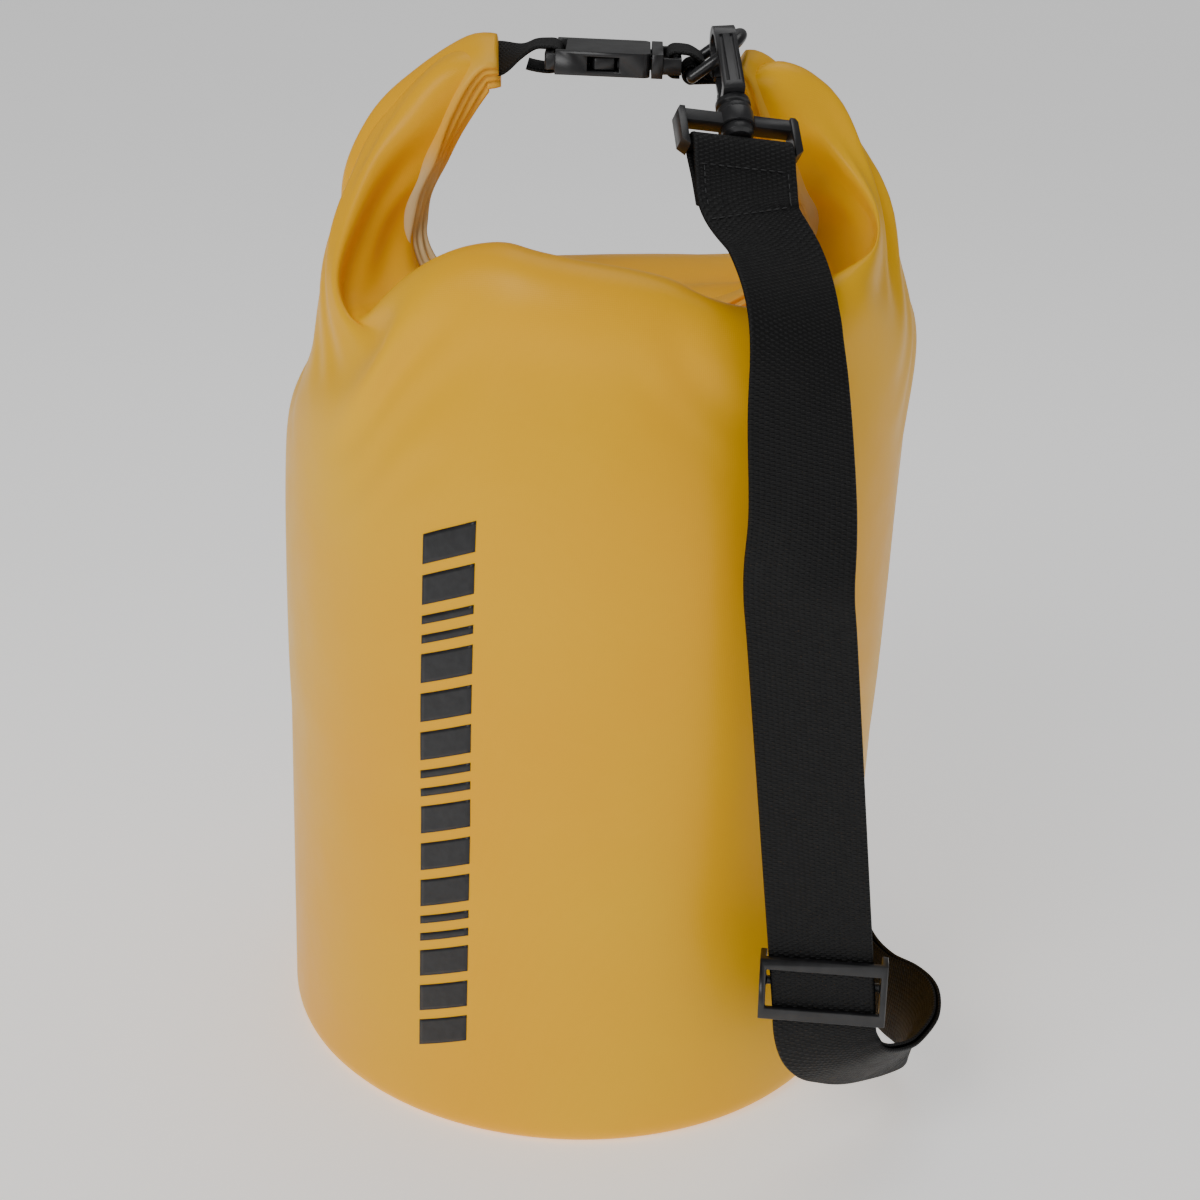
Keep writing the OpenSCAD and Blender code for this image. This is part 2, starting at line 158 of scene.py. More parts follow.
class Paint:
    """A node material, built one node at a time around the Principled shader."""

    def __init__(self, name, roughness):
        self.material = bpy.data.materials.new(name)
        self.material.use_nodes = True
        self.tree = self.material.node_tree
        self.shader = self.tree.nodes["Principled BSDF"]
        self.set(self.shader, "Roughness", roughness)
        self.place = self.add("TexCoord").outputs["Object"]

    def set(self, node, key, value):
        if isinstance(value, bpy.types.NodeSocket):
            self.tree.links.new(value, node.inputs[key])
        else:
            node.inputs[key].default_value = value

    def add(self, kind, inputs=None, **settings):
        node = self.tree.nodes.new("ShaderNode" + kind)
        for key, value in settings.items():
            setattr(node, key, value)
        for key, value in (inputs or {}).items():
            self.set(node, key, value)
        return node

    def noise(self, scale, detail):
        node = self.add("TexNoise", {"Vector": self.place, "Scale": scale, "Detail": detail})
        return node.outputs["Fac"]

    def ramp(self, fac, low, high, start=0.3, end=0.7):
        node = self.add("ValToRGB", {"Fac": fac})
        node.color_ramp.elements[0].position = start
        node.color_ramp.elements[0].color = (*low, 1)
        node.color_ramp.elements[1].position = end
        node.color_ramp.elements[1].color = (*high, 1)
        return node.outputs["Color"]

    def math(self, kind, a, b=0.0):
        return self.add("Math", {0: a, 1: b}, operation=kind).outputs[0]

    def span(self, value, low, high):
        node = self.add("MapRange", {"Value": value, "To Min": low, "To Max": high})
        return node.outputs["Result"]

    def bump(self, height, distance, strength, under=None):
        inputs = {"Height": height, "Distance": distance, "Strength": strength}
        if under:
            inputs["Normal"] = under
        return self.add("Bump", inputs).outputs["Normal"]


def tarpaulin(name, low, high):
    paint = Paint(name, 0.36)
    paint.set(paint.shader, "Base Color", paint.ramp(paint.noise(7, 3), low, high))
    paint.set(paint.shader, "Roughness", paint.span(paint.noise(60, 4), 0.3, 0.46))
    cloth = paint.add("Attribute", attribute_name="cloth").outputs["Vector"]
    threads = [paint.add("TexWave", {"Vector": cloth, "Scale": 0.42, "Distortion": 0.4},
                         wave_type="BANDS", bands_direction=way).outputs["Fac"] for way in "XY"]
    scrim = paint.bump(paint.math("ADD", *threads), 0.00004, 0.35)
    soft = paint.bump(paint.noise(26, 3), 0.0022, 0.32, scrim)
    paint.set(paint.shader, "Normal", paint.bump(paint.noise(420, 2), 0.00008, 0.25, soft))
    paint.set(paint.shader, "Specular IOR Level", 0.22)
    return paint.material


def webbing(name, pitch_across=2.0, pitch_along=1.7):
    """Matt black webbing: small raised dashes in rows."""
    paint = Paint(name, 0.62)
    spot = paint.add("Attribute", attribute_name="cloth").outputs["Vector"]
    parts = paint.add("SeparateXYZ", {"Vector": spot})
    across, along = parts.outputs["X"], parts.outputs["Y"]
    row = paint.math("MULTIPLY", along, 2 * math.pi / pitch_along)
    column = paint.math("MULTIPLY", across, math.pi / pitch_across)
    shift = paint.math("MULTIPLY", paint.math("SIGN", paint.math("SINE", column)), math.pi / 2)
    dash = paint.math("SINE", paint.math("ADD", row, shift))
    rib = paint.math("ABSOLUTE", paint.math("SINE", column))
    height = paint.math("MULTIPLY", paint.span(dash, 0, 1), rib)
    # the raised dashes are painted lighter: painted highlights on the weave's tops
    light = paint.ramp(height, (0.001, 0.001, 0.001), (0.012, 0.012, 0.013), 0.35, 0.95)
    # random darker patches of wear, mixed over the painted dash highlights
    wear_and_dash_highlight = paint.add("Mix", {"Factor": paint.span(paint.noise(90, 3), 0, 0.5), 6: light,
                             7: (0.005, 0.005, 0.0055, 1)}, data_type="RGBA")
    paint.set(paint.shader, "Base Color", wear_and_dash_highlight.outputs[2])
    paint.set(paint.shader, "Roughness", paint.span(paint.noise(300, 2), 0.5, 0.72))
    weave = paint.bump(height, 0.0005, 0.9)
    paint.set(paint.shader, "Normal", paint.bump(paint.noise(1500, 1), 0.00008, 0.4, weave))
    paint.set(paint.shader, "Specular IOR Level", 0.3)
    return paint.material


def moulding(name, colour=(0.012, 0.012, 0.013), rough=(0.26, 0.42)):
    """Injection-moulded plastic with a fine spark-eroded grain."""
    paint = Paint(name, 0.34)
    lifted = tuple(min(1.0, c * 1.9 + 0.004) for c in colour)
    paint.set(paint.shader, "Base Color", paint.ramp(paint.noise(140, 3), colour, lifted, 0.35, 0.8))
    paint.set(paint.shader, "Roughness", paint.span(paint.noise(220, 3), *rough))
    grain = paint.bump(paint.noise(2600, 2), 0.00005, 0.3)
    paint.set(paint.shader, "Normal", paint.bump(paint.noise(45, 2), 0.0004, 0.15, grain))
    return paint.material


def printed_ink(name):
    paint = Paint(name, 0.4)
    black = paint.ramp(paint.noise(300, 3), (0.004, 0.004, 0.005), (0.013, 0.013, 0.015))
    paint.set(paint.shader, "Base Color", black)
    paint.set(paint.shader, "Roughness", paint.span(paint.noise(160, 2), 0.32, 0.5))
    paint.set(paint.shader, "Normal", paint.bump(paint.noise(900, 2), 0.00005, 0.3))
    return paint.material


def pale_floor(name):
    paint = Paint(name, 0.7)
    white = paint.ramp(paint.noise(3, 2), (0.93, 0.93, 0.93), (0.96, 0.96, 0.96))
    paint.set(paint.shader, "Base Color", white)
    paint.set(paint.shader, "Emission Color", (1, 1, 1, 1))
    paint.set(paint.shader, "Emission Strength", 0.55)
    return paint.material


# ---- meshes ----

def make_mesh(name, points, faces, material, cloth=None, closed=True):
    """Points are in millimetres. cloth gives each point's place in the flat fabric, for the weave."""
    mesh = bpy.data.meshes.new(name)
    mesh.from_pydata((np.asarray(points, float) * MM).tolist(), [], [tuple(map(int, f)) for f in faces])
    if cloth is not None:
        layer = mesh.attributes.new("cloth", "FLOAT_VECTOR", "POINT")
        layer.data.foreach_set("vector", np.asarray(cloth, np.float32).ravel())
    mesh.materials.append(material)
    mesh.polygons.foreach_set("use_smooth", [True] * len(mesh.polygons))
    mesh.validate()
    if closed:
        turned = bmesh.new()
        turned.from_mesh(mesh)
        bmesh.ops.recalc_face_normals(turned, faces=turned.faces)
        turned.to_mesh(mesh)
        turned.free()
    piece = bpy.data.objects.new(name, mesh)
    bpy.context.scene.collection.objects.link(piece)
    return piece


def apply_modifier(piece, kind, **settings):
    modifier = piece.modifiers.new(kind.lower(), kind)
    for key, value in settings.items():
        setattr(modifier, key, value)
    bpy.context.view_layer.update()
    graph = bpy.context.evaluated_depsgraph_get()
    mesh = bpy.data.meshes.new_from_object(piece.evaluated_get(graph))
    piece.modifiers.clear()
    old = piece.data
    piece.data = mesh
    bpy.data.meshes.remove(old)


def unit(v):
    v = np.asarray(v, float)
    return v / np.maximum(np.linalg.norm(v, axis=-1, keepdims=True), 1e-9)


def smooth_route(route, steps):
    """Catmull-Rom through the inner points; the first and last points only steer the ends."""
    r = np.asarray(route, float)
    out = []
    for i in range(1, len(r) - 2):
        for t in np.arange(steps) / steps:
            a, b, c, d = r[i - 1], r[i], r[i + 1], r[i + 2]
            out.append(0.5 * (2 * b + (c - a) * t + (2 * a - 5 * b + 4 * c - d) * t ** 2
                              + (3 * b - a - 3 * c + d) * t ** 3))
    out.append(r[-2])
    return np.array(out)


def route_frames(route):
    """Point, tangent, width and normal at each station of a band."""
    p = route[:, :3]
    t = unit(np.vstack([p[1] - p[0], p[2:] - p[:-2], p[-1] - p[-2]]))
    w = unit(route[:, 3:] - np.sum(route[:, 3:] * t, axis=1, keepdims=True) * t)
    return p, t, w, np.cross(t, w)


def tube_faces(rows, columns, caps=True):
    faces = [(i * columns + j, i * columns + (j + 1) % columns,
              (i + 1) * columns + (j + 1) % columns, (i + 1) * columns + j)
             for i in range(rows - 1) for j in range(columns)]
    if caps:
        faces.append(tuple(range(columns))[::-1])
        faces.append(tuple((rows - 1) * columns + j for j in range(columns)))
    return faces


def run_length(points):
    return np.concatenate([[0], np.cumsum(np.linalg.norm(np.diff(points, axis=0), axis=1))])


# ---- the rolled mouth: its middle line, with the direction of the roll's width ----

ROLL = [
    [-42, 0, 413.5, -0.3, 0.9, 0.4], [-51, 0, 411.5, -0.35, 0.9, 0.4], [-64, 0, 399, -0.6, 0.7, 0.45],
    [-77, 0, 382, -0.8, 0.4, 0.3], [-86, 0, 361, -0.9, 0.4, 0], [-85, 1, 341, -0.8, 0.6, -0.2],
    [-71, 3, 325, -0.4, 0.9, -0.3], [-45, 5, 317, 0, 1, 0], [0, 6, 314, 0, 1, 0], [45, 5, 317, 0, 1, 0],
    [74, 3, 326, 0.4, 0.9, -0.3], [92, 1, 343, 0.8, 0.6, -0.2], [94, 0, 363, 0.9, 0.4, 0],
    [80, 0, 384, 0.8, 0.4, 0.3], [67, 0, 398, 0.6, 0.7, 0.45], [57, 0, 410, 0.35, 0.9, 0.4],
    [50, 0, 413.8, 0.1, 1, 0.2]]
ROLL_W = 36.0
ROLL_T = 15.0
TIP_W = 25.0            # width of the roll at its two ends


def ease(value, low, high):
    t = np.clip((value - low) / (high - low), 0, 1)
    return t * t * (3 - 2 * t)


def roll_width(share):
    return ROLL_W - (ROLL_W - TIP_W) * ease(np.abs(share), 0.72, 1)


class Roll:
    """The roll as a curve that can be asked for a place along its length, -1 at the left end to 1."""

    def __init__(self):
        r = np.array(ROLL)
        ends = np.vstack([2 * r[0] - r[1], r, 2 * r[-1] - r[-2]])
        self.p, self.t, self.w, self.n = route_frames(smooth_route(ends, 8))
        run = run_length(self.p)
        middle = run[8 * 8]
        self.share = np.where(run < middle, (run - middle) / middle, (run - middle) / (run[-1] - middle))

    def at(self, share):
        def pick(table):
            return np.stack([np.interp(share, self.share, table[:, k]) for k in range(3)], axis=-1)
        return pick(self.p), unit(pick(self.w)), unit(pick(self.n))


# ---- bag fabric: a welded tube of flat fabric, gathered into the roll and relaxed as cloth ----

COLUMNS = 168
WALL_ROWS = 44
GATHER_ROWS = 52
FOOT_Z = 212.0          # below this the wall is full and round
GATHERED = 0.7          # how far the shoulder's folds are already taken up at the start
STIFFNESS = [(2, 0.5), (4, 0.4), (8, 0.2)]
CLOTH_GAP = BAG_R * 2 * math.pi / COLUMNS
STILL_ROWS, FREE_ROWS = 30, 50          # the wall is fixed below the first, and free above the second
ROUNDS, SMOOTHINGS = 140, 5
PRESSURE, HOLD = 0.04, 0.03             # push from inside, and pull back to the starting shape, each round
FABRIC_T = 0.8
# radius and height of the lower edge, turned in over the base panel
FOOT_CURVE = [(117.5, 0.2), (121.6, 0.3), (124.2, 2.4), (BAG_R, 6.4)]

# crest of the shoulder: degrees round from the front centre (right is positive), radius, height
CREST = [[-180, 112, 310], [-150, 114, 305], [-120, 118, 297], [-100, 120.5, 292], [-90, 121, 292],
         [-78, 121, 296], [-65, 121, 303], [-52, 120.5, 311], [-44, 120, 320], [-38, 116, 338],
         [-32, 108, 362], [-20, 107, 364], [-6, 107, 361], [8, 108, 358], [16, 109, 354], [24, 115, 346],
         [32, 119, 343], [42, 119, 351], [50, 119, 355], [62, 121, 346], [76, 124, 339], [90, 126, 335],
         [104, 125, 331], [120, 122, 322], [150, 116, 314], [180, 112, 310]]


def around(table, turn, softness=3.0):
    """Values of a table of [degrees, ...] round the bag, smoothed."""
    table = np.array(table, float)
    out = []
    for k in range(1, table.shape[1]):
        steps = np.arange(-softness, softness + 0.1, softness / 3)
        out.append(np.mean([np.interp((turn + s + 180) % 360 - 180, table[:, 0], table[:, k])
                            for s in steps], axis=0))
    return out


def column_path(turn, roll):
    """Key points of one column of fabric, from the round wall up to the roll's inner edge."""
    a = math.radians(turn - 90)
    out = np.array([math.cos(a), math.sin(a), 0.0])
    front = abs(turn) < 90
    share = abs(turn) / 90 if front else (180 - abs(turn)) / 90
    centre, width, normal = roll.at(math.copysign(share, turn))
    face = -normal if front else normal
    radius, height = (float(v) for v in around(CREST, np.float64(turn)))
    crest = out * radius + [0, 0, height]
    half = roll_width(share) / 2
    top = centre - width * (half - 1) + face * 2.5
    over = centre + face * (ROLL_T / 2 + 2) + width * 4
    edge = centre + width * (half + 2)
    middle = crest + (over - crest) * 0.5
    if front:
        sink = -10 * (1 - share) ** 2
        middle = middle + [0, 0, sink] + face * 9 * 4 * share * (1 - share) + width * 14 * share ** 6
        last = [middle, over * share ** 2 + (1 - share ** 2) * (top * 0.7 + crest * 0.3), top]
    else:
        middle = middle + face * 4 + width * 14 * share ** 6
        last = [middle, edge * 0.5 + over * 0.5, over, top]
    foot = out * BAG_R
    start = [foot + [0, 0, FOOT_Z - 60], foot + [0, 0, FOOT_Z],
             foot * 0.85 + out * radius * 0.15 + [0, 0, (FOOT_Z + height) / 2],
             out * (radius + 1) + [0, 0, height - 14], crest - out * 7 + [0, 0, 0.6 if front else -1]]
    return np.vstack([*start, *last, 2 * last[-1] - last[-2]])


def resample(points, count):
    run = run_length(points)
    at = np.linspace(0, run[-1], count)
    return np.stack([np.interp(at, run, points[:, k]) for k in range(3)], axis=-1)


def initial_cloth(roll):
    turns = (np.arange(COLUMNS) + 0.5) * 360 / COLUMNS - 180
    shape = np.zeros((WALL_ROWS + GATHER_ROWS, COLUMNS, 3))
    flat = np.zeros((WALL_ROWS + GATHER_ROWS, COLUMNS))
    for j, turn in enumerate(turns):
        a = math.radians(turn - 90)
        levels = np.linspace(0, FOOT_Z, WALL_ROWS, endpoint=False)
        shape[:WALL_ROWS, j] = np.stack([np.full(WALL_ROWS, BAG_R * math.cos(a)),
                                         np.full(WALL_ROWS, BAG_R * math.sin(a)), levels], axis=-1)
        path = smooth_route(column_path(turn, roll), 10)
        shape[WALL_ROWS:, j] = resample(path, GATHER_ROWS)
        gap = run_length(path)[-1] / (GATHER_ROWS - 1)
        flat[:WALL_ROWS, j] = levels
        flat[WALL_ROWS:, j] = FOOT_Z + gap * np.arange(GATHER_ROWS)
    return shape, flat


def pull(a, b, rest, stiffness, free_a, free_b, only_push=False):
    """Moves two slices of the grid towards their rest distance. b is rolled round the bag."""
    d = b - a
    length = np.maximum(np.linalg.norm(d, axis=-1), 1e-6)
    stretch = length - rest
    if only_push:
        stretch = np.minimum(stretch, 0)
    share = stiffness * stretch / length / np.maximum(free_a + free_b, 1e-6)
    return d * (share * free_a)[..., None], d * (share * free_b)[..., None]


def relax_cloth(x, flat, free, roll, target):
    """Position-based cloth on the grid: it keeps the flat fabric's lengths, resists folding, and swells."""
    rows, columns = x.shape[:2]
    gap_v = np.diff(flat, axis=0)
    ease_in = ease(flat, FOOT_Z, FOOT_Z + 60) * GATHERED
    gap_u = CLOTH_GAP * (1 - ease_in) + ease_in * np.linalg.norm(np.roll(x, -1, axis=1) - x, axis=-1)
    slant = np.hypot(gap_u[:-1], gap_v)
    for turn in range(ROUNDS):
        for start in (0, 1):                                   # round the bag
            ja = np.arange(start, columns, 2)
            jb = (ja + 1) % columns
            da, db = pull(x[:, ja], x[:, jb], gap_u[:, ja], 1.0, free[:, ja], free[:, jb])
            x[:, ja] += da
            x[:, jb] -= db
        for start in (0, 1):                                   # up the bag
            ia = np.arange(start, rows - 1, 2)
            da, db = pull(x[ia], x[ia + 1], gap_v[ia], 1.0, free[ia], free[ia + 1])
            x[ia] += da
            x[ia + 1] -= db
        for way in (1, -1):                                    # along both diagonals
            for start in (0, 1):
                ia = np.arange(start, rows - 1, 2)
                other = np.roll(x[ia + 1], -way, axis=1)
                free_other = np.roll(free[ia + 1], -way, axis=1)
                da, db = pull(x[ia], other, slant[ia], 0.35, free[ia], free_other)
                x[ia] += da
                x[ia + 1] -= np.roll(db, way, axis=1)
        for step, stiffness in STIFFNESS:                      # the coated fabric's own stiffness
            other = np.roll(x, -step, axis=1)
            free_other = np.roll(free, -step, axis=1)
            da, db = pull(x, other, step * gap_u * 0.985, stiffness * 0.5, free, free_other, True)
            x += da * 0.5 - np.roll(db, step, axis=1) * 0.5
            rest_v = flat[step:] - flat[:-step]
            da, db = pull(x[:-step], x[step:], rest_v * 0.985, stiffness * 0.5,
                          free[:-step], free[step:], True)
            x[:-step] += da * 0.5
            x[step:] -= db * 0.5
        across = np.roll(x, -1, axis=1) - np.roll(x, 1, axis=1)
        along = np.gradient(x, axis=0)
        out = unit(np.cross(across, along))
        x += out * (PRESSURE * free[..., None])
        x += (target - x) * (HOLD * free)[..., None]
        if turn % 6 == 5:
            keep_off_roll(x, free, roll)
    return x


def keep_off_roll(x, free, roll):
    """Pushes fabric out of the oval space that the roll fills."""
    flat_x = x.reshape(-1, 3)
    near = np.where((flat_x[:, 2] > 290) & (free.ravel() > 0))[0]
    p = roll.p[::2]
    d = flat_x[near][:, None, :] - p[None]
    pick = np.argmin(np.sum(d * d, axis=-1), axis=1)
    at = np.arange(len(near))
    d = d[at, pick]
    w, n = roll.w[::2][pick], roll.n[::2][pick]
    dw, dn = np.sum(d * w, axis=1), np.sum(d * n, axis=1)
    half = roll_width(roll.share[::2][pick]) / 2
    level = np.sqrt((dw / (half + 1.5)) ** 2 + (dn / (ROLL_T / 2 + 1.5)) ** 2)
    scale = np.where(level < 1, 1 / np.maximum(level, 0.05) - 1, 0)
    scale = np.minimum(scale, 1.5)
    flat_x[near] += w * (dw * scale)[:, None] + n * (dn * scale)[:, None]


def soften(x, free, rounds):
    for _ in range(rounds):
        side = 0.25 * (np.roll(x, 1, axis=1) + np.roll(x, -1, axis=1))
        up = x.copy()
        up[1:-1] = 0.25 * (x[2:] + x[:-2])
        up[0], up[-1] = 0.5 * x[0], 0.5 * x[-1]
        x = x + (side + up - x) * (free[..., None] * 0.5)
    return x


def relaxed_cloth(roll):
    """The bag's fabric after it has settled, with its lower edge turned in over the base panel."""
    shape, flat = initial_cloth(roll)
    free = np.ones(shape.shape[:2])
    free[:STILL_ROWS] = 0
    free[STILL_ROWS:FREE_ROWS] = np.linspace(0, 1, FREE_ROWS - STILL_ROWS)[:, None]
    free[-1] = 0
    shape = relax_cloth(shape.copy(), flat, free, roll, shape)
    shape = soften(shape, free, SMOOTHINGS)
    out = unit(shape[0] * [1, 1, 0])
    foot = [out * r + [0, 0, z] for r, z in FOOT_CURVE]
    run = run_length(np.array([(r, z) for r, z in FOOT_CURVE] + [(BAG_R, flat[2, 0])]))
    shape = np.concatenate([foot, shape[2:]])
    flat = np.concatenate([np.repeat((run[:-1] - run[-1] + flat[2, 0])[:, None], COLUMNS, axis=1), flat[2:]])
    return shape, flat


class Fabric:
    """The settled fabric, which can be asked for a point and its outward direction."""

    def __init__(self, shape, flat):
        self.shape, self.flat = shape, flat
        across = np.roll(shape, -1, axis=1) - np.roll(shape, 1, axis=1)
        self.out = unit(np.cross(across, np.gradient(shape, axis=0)))

    def at(self, turn, level):
        """turn in degrees round from the front centre, level in millimetres of fabric above the ground."""
        column = (turn + 180) / 360 * COLUMNS - 0.5
        low = int(math.floor(column))
        part = column - low
        point, out = np.zeros(3), np.zeros(3)
        for j, weight in ((low % COLUMNS, 1 - part), ((low + 1) % COLUMNS, part)):
            row = np.interp(level, self.flat[:, j], np.arange(len(self.flat)))
            i = min(int(row), len(self.flat) - 2)
            rise = row - i
            point += weight * (self.shape[i, j] * (1 - rise) + self.shape[i + 1, j] * rise)
            out += weight * (self.out[i, j] * (1 - rise) + self.out[i + 1, j] * rise)
        return point, unit(out)


def add_bag_fabric(fabric, material):
    shape, flat = fabric.shape, fabric.flat
    rows = len(shape)
    cloth = np.zeros_like(shape)
    cloth[..., 0] = np.arange(COLUMNS) * CLOTH_GAP
    cloth[..., 1] = flat
    piece = make_mesh("bag_fabric", shape.reshape(-1, 3), tube_faces(rows, COLUMNS, caps=False), material,
                      cloth.reshape(-1, 3), closed=False)
    apply_modifier(piece, "SOLIDIFY", thickness=FABRIC_T * MM, offset=-1)
    apply_modifier(piece, "SUBSURF", levels=1, render_levels=1)
    piece.data.polygons.foreach_set("use_smooth", [True] * len(piece.data.polygons))
    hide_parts("body_wall", "body_shoulder")
    return piece


# ---- bands of webbing and pieces laid on the fabric ----

def band_section(width, thickness):
    h, t = width / 2, thickness
    top = [(-h, 0), (-h + 0.3 * t, 0.36 * t), (-h + 0.8 * t, 0.5 * t), (-h + 1.9, 0.44 * t),
           (-h / 3, 0.45 * t), (h / 3, 0.45 * t),
           (h - 1.9, 0.44 * t), (h - 0.8 * t, 0.5 * t), (h - 0.3 * t, 0.36 * t), (h, 0)]
    return np.array(top + [(x, -y) for x, y in top[-2:0:-1]])


def add_band(name, route, width, thickness, material, steps=6):
    """A woven band along a route of points, each with the direction of the band's width."""
    p, _, w, n = route_frames(smooth_route(route, steps))
    section = band_section(width, thickness)
    points = p[:, None] + w[:, None] * section[None, :, :1] + n[:, None] * section[None, :, 1:]
    run = run_length(p)
    cloth = np.zeros_like(points)
    cloth[..., 0] = section[None, :, 0]
    cloth[..., 1] = run[:, None]
    cloth[..., 2] = section[None, :, 1]
    return make_mesh(name, points.reshape(-1, 3), tube_faces(len(p), len(section)), material,
                     cloth.reshape(-1, 3))


def add_laid_piece(name, fabric, outlines, material, top, under=-0.5):
    """Thin pieces on the fabric: grids of (turn, level) places raised by top, with their border let in."""
    points, cloth, faces, flat_faces = [], [], [], []
    for outline in outlines:
        rows, columns = outline.shape[:2]
        start, size = len(points), rows * columns
        spots = [(fabric.at(*place), place) for place in outline.reshape(-1, 2)]
        for height in (top, under):
            points += [spot + out * height for (spot, out), _ in spots]
            cloth += [(place[0] * BAG_R * math.pi / 180, place[1], 0) for _, place in spots]
        for i in range(rows - 1):
            for j in range(columns - 1):
                a = start + i * columns + j
                b = a + columns
                faces += [(a, a + 1, b + 1, b), (size + a, size + b, size + b + 1, size + a + 1)]
        border = ([(0, j) for j in range(columns)] + [(i, columns - 1) for i in range(1, rows)]
                  + [(rows - 1, j) for j in range(columns - 2, -1, -1)]
                  + [(i, 0) for i in range(rows - 2, 0, -1)])
        ring = [start + i * columns + j for i, j in border]
        for a, b in zip(ring, ring[1:] + ring[:1]):
            flat_faces.append(len(faces))
            faces.append((b, a, size + a, size + b))
    piece = make_mesh(name, points, faces, material, cloth)
    for index in flat_faces:
        piece.data.polygons[index].use_smooth = False
    return piece


def patch_grid(turn_low, turn_high, low, high, radius, columns, rows):
    """Grid of a round-cornered rectangle; turns are in degrees and the rest in millimetres."""
    degrees = 180 / math.pi / BAG_R
    grid = np.zeros((rows, columns, 2))
    half = (turn_high - turn_low) / 2 / degrees
    for i, level in enumerate(low + (high - low) * (1 - np.cos(np.linspace(0, math.pi, rows))) / 2):
        edge = min(level - low, high - level)
        inset = 0.0
        if edge < radius:
            inset = radius - math.sqrt(max(radius ** 2 - (radius - edge) ** 2, 0))
        for j, s in enumerate(np.linspace(-1, 1, columns)):
            grid[i, j] = ((turn_low + turn_high) / 2 + s * (half - inset) * degrees, level)
    return grid


# ---- where the hooks and the slider sit ----

class Place:
    """An origin with two axes, as the hardware is placed by."""

    def __init__(self, origin, x, z):
        self.origin = np.array(origin, float)
        self.z = unit(z)
        self.x = unit(np.array(x, float) - np.dot(x, self.z) * self.z)
        self.y = np.cross(self.z, self.x)

    def turned(self, x, y, z):
        return self.x * x + self.y * y + self.z * z

    def station(self, y, z):
        return [*(self.origin + self.turned(0, y, z)), *self.x]


HOOK_REACH = 33.0
TOP_CATCH = np.array([43.6, -13.7, 421])
BEND_POINT = np.array([62, -112, 339])
TOP_DOWN = unit(BEND_POINT - TOP_CATCH)
TOP_FRAME = Place(TOP_CATCH + HOOK_REACH * TOP_DOWN, [0.93, 0.36, -0.05], -TOP_DOWN)
TOP_BAR = np.array([32, 0, 412])        # middle of the upper ring's straight side, and of the lower's
LOW_BAR = np.array([-8, 130.9, 60])
BAR_WRAP = 3.25                         # from a ring's straight side to the middle of the webbing on it
LOW_BOW = np.array([math.cos(math.radians(20)), math.sin(math.radians(20)), 0])
LOW_DOWN = unit([0.96, -0.28, 0])
LOW_HOOK = Place(LOW_BAR + 23.2 * LOW_BOW + HOOK_REACH * LOW_DOWN, [0, 0, 1], -LOW_DOWN)
SLIDER_AT = np.array([98.5, -136.4, 89])
STRAP_DIR = unit([0.13, -0.05, -0.99])
STRAP_SIDE = np.array([0.985, -0.1, 0.134])
SQUARE = Place(SLIDER_AT, STRAP_SIDE, -STRAP_DIR)
SKEW = math.radians(6)
SLIDER = Place(SLIDER_AT, SQUARE.turned(math.cos(SKEW), 0, -math.sin(SKEW)),
               SQUARE.turned(math.sin(SKEW), 0, math.cos(SKEW)))

# ---- routes of the webbing ----

WEB_W, WEB_T = 22, 1.4                  # closure webbing
STRAP_W, STRAP_T = 40, 1.6
RETURN_W = 39
KEEPER_W, LOOP_W = 20, 21

LEFT_WEB = [ROLL[3], ROLL[2], ROLL[1],
            [-42, 0, 413.5, -0.3, 0.9, 0.4], [-33.5, 0, 416.5, 0, 1, 0.1], [-28, 0, 419.4, 0, 1, 0],
            [-24, 0, 419.9, 0, 1, 0], [-20.4, 0, 419.8, 0, 1, 0], [-18.3, 0, 417.8, 0, 1, 0],
            [-18.3, 0, 413.2, 0, 1, 0], [-20.4, 0, 411.2, 0, 1, 0], [-25, 0, 411, 0, 1, 0],
            [-31, 0, 412, 0, 1, 0], [-36, 0, 414, 0, 1, 0]]
RIGHT_WEB = [ROLL[13], ROLL[14], ROLL[15],
             [50, 2.5, 412.4, 0.1, 1, 0.1], [46, 4.5, 410.9, 0, 1, 0.05], [41, 3.6, 410.9, 0, 1, 0],
             [38, 1.4, 412.6, 0, 1, 0], [35.4, 0.3, 416.8, 0, 1, 0], [31.5, 0, 419.4, 0, 1, 0],
             [28, 0, 420, 0, 1, 0], [24.4, 0, 419.8, 0, 1, 0], [22.6, 0, 417.8, 0, 1, 0],
             [22.6, 0, 413.2, 0, 1, 0], [24.4, 0, 411.2, 0, 1, 0], [27.4, 0, 411, 0, 1, 0],
             [31, 0, 411, 0, 1, 0]]
OVER = [[63, -82, 364, 0.9, 0.42, -0.1], [68.5, -102, 351.5, 0.88, 0.46, -0.18],
        [71, -114, 338, 0.87, 0.46, -0.15], [73, -121, 315, 0.93, 0.34, -0.05],
        [76.5, -125.5, 280, 0.96, 0.2, 0.08]]
STRAIGHT = [[*(SLIDER_AT + d * STRAP_DIR), *STRAP_SIDE] for d in (-165, -140, -70, 0, 22)]
CURL = [[107, -135.5, 56, 0.94, -0.1, 0.3], [116, -130, 49, 0.84, -0.15, 0.5],
        [128, -120, 44, 0.75, -0.1, 0.65], [140, -105, 41.5, 0.6, 0.05, 0.8],
        [147, -87, 39, 0.3, 0.1, 0.95], [146, -68, 35, 0.1, 0, 1],
        [139, -51, 31.5, 0, -0.05, 1], [132, -32, 30, 0, 0, 1], [130.5, -10, 30, 0, 0, 1],
        [129.5, 16, 32, 0, 0, 1], [124, 42, 36.5, 0, 0, 1], [114.5, 68, 43, 0, 0, 1],
        [102, 92, 50.5, 0, 0, 1], [88, 111, 57, 0, 0, 1]]
WRAP = [(3.8, -14.5), (3.2, -10), (0, -8.8), (-3.2, -10), (-3.8, -14.5)]
